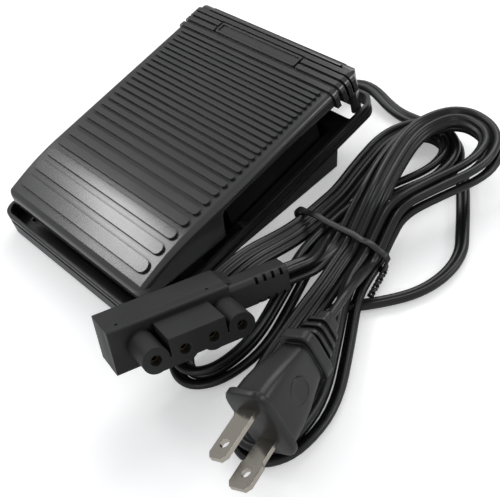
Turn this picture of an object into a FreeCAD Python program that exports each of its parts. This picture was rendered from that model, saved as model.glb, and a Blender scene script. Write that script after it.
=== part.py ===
import FreeCAD, Part
import math
import os
import re
from types import SimpleNamespace

from FreeCAD import Placement, Rotation, Vector

# Sewing machine pedal, in millimetres. +X is to the user's right, +Y towards the toe, +Z up.
# The origin is on the floor under the middle of the base.

# Driving dimensions. Heights are above the floor unless a name says otherwise.
SIZES = {
    # treadle
    "treadle_width": 87.0,
    "treadle_middle": 1.5,
    "treadle_length": 111.5,
    "treadle_slope": 7.64,
    "heel_height": 22.6,
    "treadle_wall": 2.2,
    "lip_overhang": 1.8,
    "lip_drop": 3.9,
    "lip_depth": 8.4,
    "nose_length": 16.0,
    "nose_radius": 100.0,
    "edge_radius": 2.4,
    "corner_radius": 5.0,
    "rear_wall_bottom": 18.5,
    "rear_return": 6.0,
    "skirt_far": 7.2,
    "skirt_middle": 5.2,
    "skirt_near": 4.6,
    "ear_front": -16.5,
    "ear_back": -46.5,
    "ear_bottom": 12.3,
    "press_angle": 5.5,
    # ribs
    "rib_height": 0.9,
    "rib_reach": 39.5,
    "first_rib": 3.3,
    "rib_count": 25,
    "fine_pitch": 2.35,
    "coarse_pitch": 5.6,
    "pitch_ratio": 0.835,
    "rib_share": 0.62,
    "panel_left": 25.5,
    "panel_right": 21.5,
    "panel_start": 99.6,
    "panel_depth": 5.7,
    "panel_frame": 0.8,
    "band_drop": 7.0,
    # hinge
    "pivot_y": -32.7,
    "pivot_z": 14.4,
    "pin_radius": 1.5,
    "pin_clearance": 0.05,
    "pin_length": 6.1,
    "pin_seat": 1.4,
    "lug_thickness": 3.6,
    "lug_gap": 0.7,
    "lug_radius": 4.0,
    # base
    "rim_side": 46.2,
    "rim_near": -60.0,
    "rim_far": 60.0,
    "rim_wall": 1.5,
    "rim_drop": 14.7,
    "rim_depth": 5.65,
    "rim_floor": 1.85,
    "rim_corner": 6.0,
    "heel_rim": 10.8,
    "groove_top": 2.2,
    "groove_width": 1.7,
    "groove_depth": 0.9,
    "tub_side": 40.5,
    "tub_far": 39.5,
    "tub_draft": 4.5,
    "tub_wall": 2.2,
    "foot_gap": 0.8,
    "foot_radius": 4.5,
    "foot_height": 1.6,
    "foot_x": 32.0,
    "foot_near": -46.5,
    "foot_far": 25.5,
    "slot_near": 49.0,
    # inner cover
    "cover_near": -10.5,
    "cover_far": 37.1,
    "cover_top_near": 22.8,
    "cover_top_far": 24.9,
    "cover_draft": 1.7,
    "cover_wall": 1.8,
    "cover_clearance": 0.4,
    "cover_screw_x": 32.0,
    "cover_screw_near": -5.0,
    "cover_screw_far": 11.5,
    "cover_boss_radius": 3.0,
    "screw_radius": 1.3,
    "screw_head_radius": 2.7,
    "screw_head": 1.4,
    "cover_screw_length": 11.0,
    # springs and plunger
    "spring_x": 26.0,
    "spring_y": 25.5,
    "well_radius": 4.8,
    "well_wall": 1.0,
    "well_floor": 7.2,
    "spring_radius": 3.6,
    "spring_wire": 0.9,
    "spring_turns": 8,
    "post_radius": 2.4,
    "post_length": 3.4,
    "plunger_y": 13.5,
    "plunger_radius": 3.0,
    "plunger_clearance": 0.08,
    "plunger_foot": 12.0,
    "plunger_head_gap": 0.55,
    "flange_half": 4.2,
    "flange_height": 1.2,
    "guide_wall": 1.9,
    # circuit
    "board_half": 29.0,
    "board_near": -7.1,
    "board_far": 24.0,
    "board_bottom": 8.6,
    "board_thickness": 1.6,
    "standoff_radius": 2.6,
    "board_screw_radius": 1.0,
    "fit_gap": 0.3,
    # cords
    "cord_radius": 1.45,
    "cord_exit_x": 14.0,
    "cord_exit_z": 6.0,
    "boot_length": 22.0,
    "boot_radius": 3.6,
    "boot_tip_radius": 2.3,
    "tie_width": 2.6,
    "tie_thickness": 0.9,
    # connector
    "socket_pitch": 9.55,
    "boss_radius": 4.4,
    "boss_length": 13.0,
    "socket_radius": 1.8,
    "socket_depth": 11.0,
    "sleeve_radius": 1.3,
    "sleeve_setback": 3.0,
    "slab_thickness": 8.0,
    "slab_left": 9.5,
    "slab_right": 3.0,
    "slab_up": 7.4,
    "slab_down": 8.0,
    "tail_end": 53.4,
    "tail_half": 3.9,
    "tail_start": 14.2,
    "tail_stop": 23.2,
    # plug
    "blade_pitch": 12.7,
    "blade_thickness": 1.5,
    "blade_width": 6.35,
    "wide_blade_width": 7.9,
    "blade_length": 17.0,
    "blade_root": 3.0,
    "blade_hole": 11.9,
    "blade_hole_radius": 1.5,
    "plug_half": 12.8,
    "plug_side": 7.5,
    "plug_plate": 6.0,
    "plug_body": 20.0,
    "plug_neck_half": 6.4,
    "plug_neck_side": 4.4,
    "plug_grip": 3.6,
    "plug_relief": 12.4,
}

doc = FreeCAD.newDocument("pedal")
sheet = doc.addObject("Spreadsheet::Sheet", "Sizes")
for row, (alias, value) in enumerate(SIZES.items(), start=1):
    sheet.set(f"A{row}", alias)
    sheet.set(f"B{row}", str(value))
    sheet.setAlias(f"B{row}", alias)
doc.recompute()
size = SimpleNamespace(**{alias: float(sheet.get(alias)) for alias in SIZES})
pieces = []


# Building blocks


def bind(thing, **formulas):
    """Ties properties to the sheet: every word in a formula is one of its aliases."""
    for name, formula in formulas.items():
        thing.setExpression(name.replace("__", "."), re.sub(r"[a-z][a-z_]+", r"Sizes.\g<0>", formula))
    return thing


def place(thing, corner):
    """Ties an object's place to three formulas."""
    x, y, z = (str(value) for value in corner)
    return bind(thing, Placement__Base__x=x, Placement__Base__y=y, Placement__Base__z=z)


def box(name, length, width, height, corner):
    """A block that is length along X, width along Y and height along Z."""
    thing = doc.addObject("Part::Box", name)
    bind(thing, Length=str(length), Width=str(width), Height=str(height))
    return place(thing, corner)


TURNS = {
    "x": Rotation(Vector(0, 1, 0), 90),
    "y": Rotation(Vector(1, 0, 0), -90),
    "z": Rotation(),
}


def cylinder(name, radius, height, foot, axis="z"):
    """A round bar from its foot along one axis."""
    thing = doc.addObject("Part::Cylinder", name)
    thing.Placement = Placement(Vector(), TURNS[axis])
    bind(thing, Radius=str(radius), Height=str(height))
    return place(thing, foot)


def cone(name, radius, end_radius, height, foot, axis="z"):
    """A tapered bar from its foot along one axis."""
    thing = doc.addObject("Part::Cone", name)
    thing.Placement = Placement(Vector(), TURNS[axis])
    bind(thing, Radius1=str(radius), Radius2=str(end_radius), Height=str(height))
    return place(thing, foot)


def fuse(name, *parts):
    thing = doc.addObject("Part::MultiFuse", name)
    thing.Shapes = list(parts)
    thing.Refine = True
    return thing


def cut(name, base, *tools):
    thing = doc.addObject("Part::Cut", name)
    thing.Base = base
    thing.Tool = tools[0] if len(tools) == 1 else fuse(name + "_tools", *tools)
    thing.Refine = True
    return thing


def common(name, *parts):
    thing = doc.addObject("Part::MultiCommon", name)
    thing.Shapes = list(parts)
    thing.Refine = True
    return thing


def group(name, *parts):
    """Separate solids that share one node."""
    thing = doc.addObject("Part::Compound", name)
    thing.Links = list(parts)
    return thing


def node(label, thing, frame=None):
    """Names a finished piece, and puts it in its own frame if it has one."""
    thing.Label = label
    if frame is not None:
        thing.Placement = frame
    pieces.append(thing)
    return thing


def rounded(corners):
    """Lines round a closed outline of (u, v, radius) corners, with a tangent arc at each radius."""
    ends = []
    for index, (u, v, radius) in enumerate(corners):
        here = Vector(u, v, 0)
        back = (Vector(*corners[index - 1][:2], 0) - here).normalize()
        ahead = (Vector(*corners[(index + 1) % len(corners)][:2], 0) - here).normalize()
        half = back.getAngle(ahead) / 2
        if radius == 0:
            ends.append((here, None, here))
            continue
        reach = radius / math.tan(half)
        inward = (back + ahead).normalize()
        middle = here + inward * (radius / math.sin(half) - radius)
        ends.append((here + back * reach, middle, here + ahead * reach))
    edges = []
    for index, (start, middle, end) in enumerate(ends):
        if middle is not None:
            edges.append(Part.Arc(start, middle, end))
        following = ends[(index + 1) % len(ends)][0]
        if (following - end).Length > 1e-6:
            edges.append(Part.LineSegment(end, following))
    return edges


PLANES = {
    "xy": Rotation(),
    "yz": Rotation(Vector(0, 1, 0), Vector(0, 0, 1), Vector(1, 0, 0), "ZXY"),
    "xz": Rotation(Vector(1, 0, 0), Vector(0, 0, 1), Vector(0, -1, 0), "ZXY"),
}


def sketch(name, plane, edges, origin=Vector()):
    """A closed outline on a plane through the origin given."""
    thing = doc.addObject("Sketcher::SketchObject", name)
    turn = PLANES[plane] if isinstance(plane, str) else plane
    thing.Placement = Placement(origin, turn)
    thing.addGeometry(edges, False)
    return thing


def prism(name, plane, corners, depth, origin=Vector(), both=False):
    """A rounded outline drawn out along its plane's normal, or both ways about the plane."""
    thing = doc.addObject("Part::Extrusion", name)
    thing.Base = sketch(name + "_outline", plane, rounded(corners), origin)
    thing.DirMode = "Normal"
    thing.Solid = True
    thing.Symmetric = both
    return bind(thing, LengthFwd=str(depth))


def rectangle(left, right, low, high, radius):
    return [(left, low, radius), (right, low, radius), (right, high, radius), (left, high, radius)]


# Shapes that several pieces share

rise = math.tan(math.radians(size.treadle_slope))
along = math.cos(math.radians(size.treadle_slope))
heel_y = size.treadle_middle - size.treadle_length * along / 2
toe_y = size.treadle_middle + size.treadle_length * along / 2


def tread(y, below=0.0):
    """Height of the treadle's plane at y, less a drop."""
    return size.heel_height + rise * (y - heel_y) - below


def rim(y, below=0.0):
    """Height of the sloping rim's top at y, less a drop."""
    return tread(y, size.rim_drop / along + below)


heel_bend = heel_y + (size.rim_drop / along - size.heel_height + size.heel_rim) / rise
half_width = size.treadle_width / 2


# Treadle


def treadle_outline(grow=0.0):
    """The treadle from the side; grow lifts its top for the ribs."""
    lip_y = heel_y - size.lip_overhang - grow
    nose = heel_y + size.nose_length * along
    rear = size.rear_wall_bottom
    return_y = toe_y - size.rear_return
    middle = (return_y + size.ear_front) / 2
    return [
        (lip_y, size.heel_height - size.lip_depth, 0),
        (lip_y, size.heel_height - size.lip_drop + grow, 3.4 + grow),
        (nose, tread(nose) + grow, size.nose_radius),
        (toe_y, tread(toe_y) + grow, size.edge_radius + grow),
        (toe_y, rear, 1.0),
        (return_y, rear, 1.5),
        (return_y, tread(return_y, size.skirt_far), 2.0),
        (middle, tread(middle, size.skirt_middle), 60.0),
        (size.ear_front + 1.6, tread(size.ear_front, size.skirt_near), 2.0),
        (size.ear_front, size.ear_bottom, 2.5),
        (size.ear_back, size.ear_bottom, 4.0),
    ]


def edge_rounding(name, base, half, radius):
    """Rounds the top edge along both sides of a treadle block."""
    doc.recompute()
    picked = []
    for index, edge in enumerate(base.Shape.Edges, start=1):
        box_ = edge.BoundBox
        flat = box_.XLength < 0.01 and abs(abs(box_.XMin) - half) < 0.01
        middle = edge.valueAt((edge.FirstParameter + edge.LastParameter) / 2)
        above = middle.z > tread(middle.y, 4.4)
        at_end = middle.y < base.Shape.BoundBox.YMin + 0.01 or middle.y > base.Shape.BoundBox.YMax - 0.01
        if flat and (above or at_end):
            picked.append((index, radius, radius))
    thing = doc.addObject("Part::Fillet", name)
    thing.Base = base
    thing.Edges = picked
    return thing


def rib_starts():
    """Where each rib starts, up the slope, and the pitch to the next one."""
    start = size.first_rib
    for index in range(int(size.rib_count)):
        pitch = size.fine_pitch + size.coarse_pitch * size.pitch_ratio**index
        yield start, pitch
        start += pitch


def bar(left, right, start, width):
    """A flat bar's outline with round ends."""
    radius = width / 2 - 0.01
    return rounded(rectangle(left, right, start, start + width, radius))


def treadle_blocks():
    """The plain treadle, and the thin layer over it that the ribs are cut from."""
    slab = prism("treadle_slab", "yz", treadle_outline(), "treadle_width", both=True)
    slab = edge_rounding("treadle_rounded", slab, half_width, size.edge_radius - 0.3)
    lip_y = heel_y - size.lip_overhang
    plan = rectangle(-half_width, half_width, lip_y, toe_y, size.corner_radius)
    slab = common("treadle_block", slab, prism("treadle_plan", "xy", plan, 60))
    grow = size.rib_height
    layer = prism("rib_slab", "yz", treadle_outline(grow), "treadle_width + 2 * rib_height", both=True)
    across = Rotation(Vector(1, 0, 0), 90 + size.treadle_slope)
    reach = half_width + grow
    front = rectangle(-reach, reach, -40, grow, size.edge_radius + grow - 0.3)
    front = prism("rib_front_view", across, front, 240, Vector(0, heel_y, size.heel_height), both=True)
    layer = common("rib_layer", layer, front)
    return slab, layer


def treadle_ribs(layer):
    """Flat bars that get closer together up the slope, and bands that wrap over the far end."""
    slope = Rotation(Vector(1, 0, 0), size.treadle_slope)
    origin = Vector(0, heel_y, size.heel_height) + slope.multVec(Vector(0, 0, -6))
    edges = []
    for start, pitch in rib_starts():
        edges += bar(-size.rib_reach, size.rib_reach, start, pitch * size.rib_share)
    last = size.panel_start + size.panel_depth + 2.6
    for start in (last, last + 2.5):
        edges += bar(2.5 - size.rib_reach, size.rib_reach - 2.5, start, 1.2)
    bars = doc.addObject("Part::Extrusion", "rib_bars")
    bars.Base = sketch("rib_outlines", slope, edges, origin)
    bars.DirMode = "Normal"
    bars.Solid = True
    bind(bars, LengthFwd="8")
    reach = half_width + 2
    bands = []
    starts = (size.panel_start - 3.6, size.panel_start, size.panel_start + 3.0, size.panel_start + 5.7)
    for index, start in enumerate(starts):
        outline = rectangle(-reach, reach, start, start + 1.9, 0)
        deep = Vector(0, heel_y, size.heel_height) + slope.multVec(Vector(0, 0, -size.band_drop))
        bands.append(prism(f"band_{index}", slope, outline, size.band_drop + 2, deep))
    wrap = fuse("bands", *bands)
    start, depth = size.panel_start - 0.4, size.panel_depth + 0.6
    hole = rectangle(-size.panel_left, size.panel_right, start, start + depth, 0)
    wrap = cut("bands_cut", wrap, prism("panel_hole", slope, hole, 8, origin))
    frame = rectangle(-size.panel_left + 1, size.panel_right - 1, start + 0.5, start + depth - 0.7, 0.6)
    rim_width = size.panel_frame
    inside = rectangle(
        -size.panel_left + 1 + rim_width,
        size.panel_right - 1 - rim_width,
        start + 0.5 + rim_width,
        start + depth - 0.7 - rim_width,
        0.3,
    )
    plate = prism("panel_plate", slope, frame, 8, origin)
    floor = origin + slope.multVec(Vector(0, 0, 6.4))
    plate = cut("panel", plate, prism("panel_recess", slope, inside, 2, floor))
    return common("ribs", layer, fuse("rib_tools", bars, wrap, plate))


def make_treadle():
    slab, layer = treadle_blocks()
    body = fuse("treadle_solid", slab, treadle_ribs(layer))
    wall = size.treadle_wall
    nose = heel_y + size.nose_length * along
    hollow = [
        (heel_y - size.lip_overhang + wall, 0, 0),
        (heel_y - size.lip_overhang + wall, size.heel_height - size.lip_drop - wall * 0.9, 2.0),
        (nose, tread(nose, wall), size.nose_radius - wall),
        (toe_y - wall, tread(toe_y - wall, wall), 1.2),
        (toe_y - wall, 0, 0),
    ]
    inside = prism("treadle_hollow", "yz", hollow, "treadle_width - 2 * treadle_wall", both=True)
    plan = rectangle(
        wall - half_width,
        half_width - wall,
        heel_y - size.lip_overhang + wall,
        toe_y - wall,
        size.corner_radius - wall,
    )
    inside = common("treadle_inside", inside, prism("hollow_plan", "xy", plan, 60))
    shell = cut("treadle_shell", body, inside)
    posts = []
    top = tread(size.spring_y, wall)
    for side in (-1, 1):
        foot = (side * size.spring_x, size.spring_y, top - size.post_length)
        posts.append(cylinder(f"spring_post_{side + 1}", "post_radius", "post_length + 1", foot))
    shell = fuse("treadle_with_posts", shell, *posts)
    holes = []
    for side in (-1, 1):
        inner = half_width - wall + size.pin_seat
        foot = (min(side * inner, side * (inner - 4)), "pivot_y", "pivot_z")
        holes.append(cylinder(f"ear_hole_{side + 1}", "pin_radius", 4, foot, "x"))
    node("treadle", cut("treadle_piece", shell, *holes))


def make_hinge_pins():
    pins = []
    end = half_width - size.treadle_wall + size.pin_seat
    for side in (-1, 1):
        start = min(side * end, side * (end - size.pin_length))
        foot = (start, "pivot_y", "pivot_z")
        pins.append(cylinder(f"hinge_pin_{side + 1}", "pin_radius", "pin_length", foot, "x"))
    node("hinge_pins", group("hinge_pin_pair", *pins))


# Base


def rim_band(name, top, bottom):
    """The rim between two depths under its top, seen from the side and drawn right across."""
    near, far = size.rim_near - 1, size.rim_far + 1
    outline = [
        (near, size.heel_rim - top, 0),
        (heel_bend, size.heel_rim - top, 0),
        (far, rim(far, top), 0),
        (far, rim(far, bottom), 0),
        (heel_bend, size.heel_rim - bottom, 0),
        (near, size.heel_rim - bottom, 0),
    ]
    return prism(name, "yz", outline, 120, both=True)


def cover_screw_places():
    for side in (-1, 1):
        yield side * size.cover_screw_x, size.cover_screw_near
        yield side * size.cover_screw_x, size.cover_screw_far


def standoff_places():
    for side in (-1, 1):
        yield side * (size.board_half - 3.0), size.board_near + 3.0
        yield side * 15.0, size.board_far - 3.0


def clamp_places():
    for side in (-1, 1):
        yield size.cord_exit_x + side * 4.2, 31.4


def foot_places():
    for side in (-1, 1):
        yield side * size.foot_x, size.foot_near
        yield side * size.foot_x, size.foot_far


def base_body():
    """Rim and wedge-shaped tub, as one closed block."""
    low = size.foot_gap
    under = size.rim_depth
    meet = heel_y + (low + under - rim(heel_y)) / rise
    side = [
        (size.rim_near, low, 2.5),
        (size.rim_near, size.heel_rim, 0.7),
        (heel_bend, size.heel_rim, 0),
        (size.rim_far, rim(size.rim_far), 0.7),
        (size.rim_far, rim(size.rim_far, under), 0.7),
        (meet, low, 0),
    ]
    plan = rectangle(-size.rim_side, size.rim_side, size.rim_near, size.rim_far, size.rim_corner)
    upper = common(
        "rim_block",
        prism("rim_side_view", "yz", side, "2 * rim_side", both=True),
        prism("rim_plan", "xy", plan, 60),
    )
    wall_top = rim(size.tub_far, 3.0)
    tub = [
        (size.rim_near + 6, low, 0),
        (size.tub_far, low, 0),
        (size.tub_far + size.tub_draft, wall_top, 0),
        (size.rim_near + 6, low + 4, 0),
    ]
    return fuse("base_block", upper, prism("tub_block", "yz", tub, "2 * tub_side", both=True))


def base_hollows():
    """The tray inside the rim, the tub under it and the slot that the rear wall drops into."""
    wall = size.rim_wall
    near, far = size.rim_near + wall, size.rim_far - wall
    floor = size.rim_depth - size.rim_floor
    tray_side = [
        (near, rim(heel_y, floor), 0),
        (heel_y, rim(heel_y, floor), 0),
        (far, rim(far, floor), 0),
        (far, 60, 0),
        (near, 60, 0),
    ]
    half = size.rim_side - wall
    tray = common(
        "tray_hollow",
        prism("tray_side_view", "yz", tray_side, "2 * rim_side - 2 * rim_wall", both=True),
        prism("tray_plan", "xy", rectangle(-half, half, near, far, size.rim_corner - wall), 60),
    )
    low = size.foot_gap + size.tub_wall
    far_wall = size.tub_far - size.tub_wall + 0.6
    tub_side = [
        (near + 5, low, 0),
        (far_wall, low, 0),
        (far_wall + size.tub_draft, rim(size.tub_far, 3.0), 0),
        (far_wall + size.tub_draft, 60, 0),
        (near + 5, 60, 0),
    ]
    tub = prism("tub_hollow", "yz", tub_side, "2 * tub_side - 2 * tub_wall", both=True)
    slot_plan = rectangle(-half, half, size.slot_near, far, size.rim_corner - wall)
    slot = prism("rear_slot", "xy", slot_plan, 60)
    return tray, tub, slot


def base_fittings():
    """Hinge lugs, board standoffs, clamp posts and a stop block on the ledge at each side."""
    low = size.foot_gap + size.tub_wall - 0.2
    outer = half_width - size.treadle_wall - size.lug_gap
    fittings = []
    for side in (-1, 1):
        left = min(side * outer, side * (outer - size.lug_thickness))
        tag = side + 1
        corner = (left, f"pivot_y - lug_radius - 1", low)
        height = size.pivot_z - low
        fittings.append(box(f"lug_{tag}", "lug_thickness", "2 * lug_radius + 2", height, corner))
        foot = (left, "pivot_y", "pivot_z")
        fittings.append(cylinder(f"lug_top_{tag}", "lug_radius", "lug_thickness", foot, "x"))
        block_y = size.ear_front + 5.0
        block = [
            (block_y, rim(block_y, 5.0), 0),
            (block_y, rim(block_y, -1.4), 0),
            (block_y + 5.0, rim(block_y, 2.4), 0),
            (block_y + 5.0, rim(block_y, 5.0), 0),
        ]
        start = min(side * (size.rim_side - 0.6), side * (size.rim_side - 4.2))
        fittings.append(prism(f"stop_block_{tag}", "yz", block, 3.6, Vector(start, 0, 0)))
    for index, (x, y) in enumerate(standoff_places()):
        height = size.board_bottom - low
        fittings.append(cylinder(f"standoff_{index}", "standoff_radius", height, (x, y, low)))
    for index, (x, y) in enumerate(clamp_places()):
        height = size.cord_exit_z + size.cord_radius - low
        fittings.append(cylinder(f"clamp_post_{index}", 2.2, height, (x, y, low)))
    return fittings


def base_holes():
    """Pin bores, screw holes, foot recesses, the cord's hole and the rim's outer groove."""
    holes = []
    outer = half_width - size.treadle_wall
    for side in (-1, 1):
        foot = (min(side * outer, side * (outer - 8)), "pivot_y", "pivot_z")
        holes.append(cylinder(f"lug_bore_{side + 1}", "pin_radius + pin_clearance", 8, foot, "x"))
    for index, (x, y) in enumerate(cover_screw_places()):
        holes.append(cylinder(f"cover_hole_{index}", "screw_radius", 6, (x, y, 0)))
        holes.append(cylinder(f"cover_sink_{index}", "screw_head_radius + 0.1", "foot_gap + screw_head", (x, y, 0)))
    for index, (x, y) in enumerate(standoff_places()):
        foot = (x, y, "board_bottom - 4")
        holes.append(cylinder(f"standoff_hole_{index}", "board_screw_radius", 6, foot))
    for index, (x, y) in enumerate(clamp_places()):
        foot = (x, y, size.cord_exit_z - 2)
        holes.append(cylinder(f"clamp_hole_{index}", "board_screw_radius", 5, foot))
    for index, (x, y) in enumerate(foot_places()):
        holes.append(cylinder(f"foot_recess_{index}", "foot_radius", "foot_height", (x, y, 0)))
    foot = ("cord_exit_x", "tub_far - 8", "cord_exit_z")
    holes.append(cylinder("cord_hole", "boot_radius", 20, foot, "y"))
    half = size.rim_side - size.groove_depth
    near, far = size.rim_near + size.groove_depth, size.rim_far - size.groove_depth
    band = rim_band("groove_band", size.groove_top, size.groove_top + size.groove_width)
    plan = rectangle(-half, half, near, far, size.rim_corner - size.groove_depth)
    holes.append(cut("rim_groove", band, prism("groove_core", "xy", plan, 60)))
    return holes


def make_base():
    hollow = cut("base_hollowed", base_body(), *base_hollows())
    fitted = fuse("base_fitted", hollow, *base_fittings())
    node("base_shell", cut("base_piece", fitted, *base_holes()))
    feet = []
    for index, (x, y) in enumerate(foot_places()):
        feet.append(cylinder(f"rubber_foot_{index}", "foot_radius", "foot_height", (x, y, 0)))
    node("rubber_feet", group("foot_set", *feet))


# Inner cover, springs and plunger


def cover_block(name, inset):
    """The cover's outside, or its inside when inset by the wall."""
    near, far = size.cover_near + inset, size.cover_far - inset
    low = size.foot_gap + size.tub_wall + (0 if inset == 0 else -1)
    side = [
        (near, low, 0),
        (far, low, 0),
        (far, size.cover_top_far - inset, 1.0),
        (near, size.cover_top_near - inset, 1.0),
    ]
    half = size.tub_side - size.tub_wall - size.cover_clearance - inset
    narrow = half - size.cover_draft
    front = [(-half, low, 0), (half, low, 0), (narrow, 30, 0), (-narrow, 30, 0)]
    return common(
        name,
        prism(name + "_side_view", "yz", side, "2 * tub_side", both=True),
        prism(name + "_front_view", "xz", front, 120, both=True),
    )


def make_cover():
    shell = cut("cover_shell", cover_block("cover_outside", 0), cover_block("cover_inside", size.cover_wall))
    low = size.foot_gap + size.tub_wall
    extras = []
    holes = []
    for side in (-1, 1):
        tag = side + 1
        height = size.cover_top_near - size.well_floor + size.well_wall
        foot = (side * size.spring_x, "spring_y", "well_floor - well_wall")
        extras.append(cylinder(f"well_{tag}", "well_radius + well_wall", height, foot))
        foot = (side * size.spring_x, "spring_y", "well_floor")
        holes.append(cylinder(f"well_bore_{tag}", "well_radius", 30, foot))
    for index, (x, y) in enumerate(cover_screw_places()):
        extras.append(cylinder(f"cover_boss_{index}", "cover_boss_radius", 19, (x, y, low)))
        foot = (x, y, low - 1)
        holes.append(cylinder(f"cover_pilot_{index}", "screw_radius", "cover_screw_length + 1", foot))
    guide_foot = size.plunger_foot + size.flange_height + 0.2
    height = size.cover_top_near - guide_foot
    foot = (0, "plunger_y", guide_foot)
    extras.append(cylinder("guide", "plunger_radius + guide_wall", height, foot))
    foot = (0, "plunger_y", guide_foot - 1)
    holes.append(cylinder("guide_bore", "plunger_radius + plunger_clearance", 30, foot))
    notch = ("cord_exit_x - 4.5", "cover_far - 4", low - 1)
    holes.append(box("cord_notch", 9, 8, 8, notch))
    node("inner_cover", cut("cover_piece", fuse("cover_fused", shell, *extras), *holes))
    screws = []
    for index, (x, y) in enumerate(cover_screw_places()):
        head = cylinder(f"cover_screw_head_{index}", "screw_head_radius", "screw_head", (x, y, "foot_gap"))
        length = "cover_screw_length + tub_wall - 2"
        shank = cylinder(f"cover_screw_shank_{index}", "screw_radius", length, (x, y, "foot_gap + 1"))
        screws.append(fuse(f"cover_screw_{index}", head, shank))
    node("cover_screws", group("cover_screw_set", *screws))


def biarc(start, start_way, end, end_way):
    """Two arcs that leave one point along one direction and reach another along another."""
    span = end - start
    ways = start_way + end_way
    spread = 2 * (1 - start_way.dot(end_way))
    if spread < 1e-9:
        reach = span.dot(span) / (4 * span.dot(end_way))
    else:
        lean = span.dot(ways)
        reach = (math.sqrt(lean * lean + spread * span.dot(span)) - lean) / spread
    joint = (start + end + (start_way - end_way) * reach) * 0.5
    return [arc_from(start, start_way, joint), arc_from(end, end_way * -1, joint, backwards=True)]


def arc_from(start, way, end, backwards=False):
    """The arc from start along way to end, or a line where they are in line."""
    chord = end - start
    line = Vector(chord).normalize()
    turn = way.getAngle(line)
    first, last = (end, start) if backwards else (start, end)
    if turn < 1e-4:
        return Part.LineSegment(first, last).toShape()
    outward = (way - line * way.dot(line)).normalize()
    middle = start + chord * 0.5 + outward * (chord.Length / 2 * math.tan(turn / 2))
    return Part.Arc(first, middle, last).toShape()


def tube(edges, radius):
    """A round tube along a chain of edges."""
    path = Part.Wire(edges)
    start = path.Edges[0]
    way = start.tangentAt(start.FirstParameter)
    ring = Part.Wire([Part.Circle(start.valueAt(start.FirstParameter), way, radius).toShape()])
    return path.makePipeShell([ring], True, False), path.Length


def shape_piece(name, shape):
    """A piece whose shape is worked out here from the sheet's sizes."""
    thing = doc.addObject("Part::Feature", name)
    thing.Shape = shape
    return thing


def coil(centre, radius, wire, turns, height):
    """A coil spring's wire: quarter turns that climb at a steady rate."""
    rate = (height - wire) / (2 * math.pi * turns)

    def point(angle):
        return centre + Vector(radius * math.cos(angle), radius * math.sin(angle), wire / 2 + rate * angle)

    def way(angle):
        return Vector(-radius * math.sin(angle), radius * math.cos(angle), rate).normalize()

    edges = []
    quarters = int(turns * 4)
    for index in range(quarters):
        start, end = index * math.pi / 2, (index + 1) * math.pi / 2
        edges += biarc(point(start), way(start), point(end), way(end))
    solid, _ = tube(edges, wire / 2)
    return solid


def make_springs():
    top = tread(size.spring_y - size.spring_radius - size.spring_wire, size.treadle_wall) - 0.1
    height = top - size.well_floor
    springs = []
    for side in (-1, 1):
        centre = Vector(side * size.spring_x, size.spring_y, size.well_floor)
        solid = coil(centre, size.spring_radius, size.spring_wire, size.spring_turns, height)
        springs.append(shape_piece(f"return_spring_{side + 1}", solid))
    node("return_springs", group("return_spring_pair", *springs))
    low = size.foot_gap + size.tub_wall
    centre = Vector(0, size.plunger_y, low)
    solid = coil(centre, 2.6, 0.6, 5, size.plunger_foot - low)
    node("plunger_spring", shape_piece("plunger_coil", solid))


def make_plunger():
    top = tread(size.plunger_y, size.treadle_wall) - size.plunger_head_gap
    height = top - size.plunger_foot - 1.0
    rod = cylinder("plunger_rod", "plunger_radius", height, (0, "plunger_y", "plunger_foot"))
    tip = cone("plunger_tip", "plunger_radius", "plunger_radius - 1", 1.0, (0, "plunger_y", top - 1.0))
    corner = ("-flange_half", "plunger_y - flange_half", "plunger_foot")
    flange = box("plunger_flange", "2 * flange_half", "2 * flange_half", "flange_height", corner)
    node("plunger", fuse("plunger_piece", rod, tip, flange))
    corner = (-1.5, "plunger_y + flange_half", "plunger_foot")
    node("wiper", box("wiper_piece", 3, 1.3, "flange_height", corner))


# Circuit


def make_board():
    top = size.board_bottom + size.board_thickness
    corner = ("-board_half", "board_near", "board_bottom")
    depth = "board_far - board_near"
    plate = box("board_plate", "2 * board_half", depth, "board_thickness", corner)
    holes = []
    for side in (-1, 1):
        foot = (side * size.spring_x, "spring_y", "board_bottom - 1")
        radius = "well_radius + well_wall + fit_gap"
        holes.append(cylinder(f"board_well_{side + 1}", radius, 4, foot))
    for index, (x, y) in enumerate(cover_screw_places()):
        foot = (x, y, "board_bottom - 1")
        holes.append(cylinder(f"board_boss_{index}", "cover_boss_radius + fit_gap", 4, foot))
    for index, (x, y) in enumerate(standoff_places()):
        foot = (x, y, "board_bottom - 1")
        holes.append(cylinder(f"board_hole_{index}", "board_screw_radius", 4, foot))
    reach = "flange_half + 0.8"
    corner = (f"-({reach})", f"plunger_y - ({reach})", "board_bottom - 1")
    holes.append(box("board_window", f"2 * ({reach})", f"2 * ({reach}) + 0.6", 4, corner))
    node("circuit_board", cut("board_piece", plate, *holes))
    screws = []
    for index, (x, y) in enumerate(standoff_places()):
        shank = cylinder(f"board_shank_{index}", "board_screw_radius", "board_thickness + 3", (x, y, "board_bottom - 3"))
        head = cylinder(f"board_head_{index}", 2.0, 1.2, (x, y, top))
        screws.append(fuse(f"board_screw_{index}", shank, head))
    node("board_screws", group("board_screw_set", *screws))
    corner = (-6, "plunger_y + flange_half + 1.5", top)
    node("track_board", box("track_piece", 12, 1.2, 10, corner))


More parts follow.
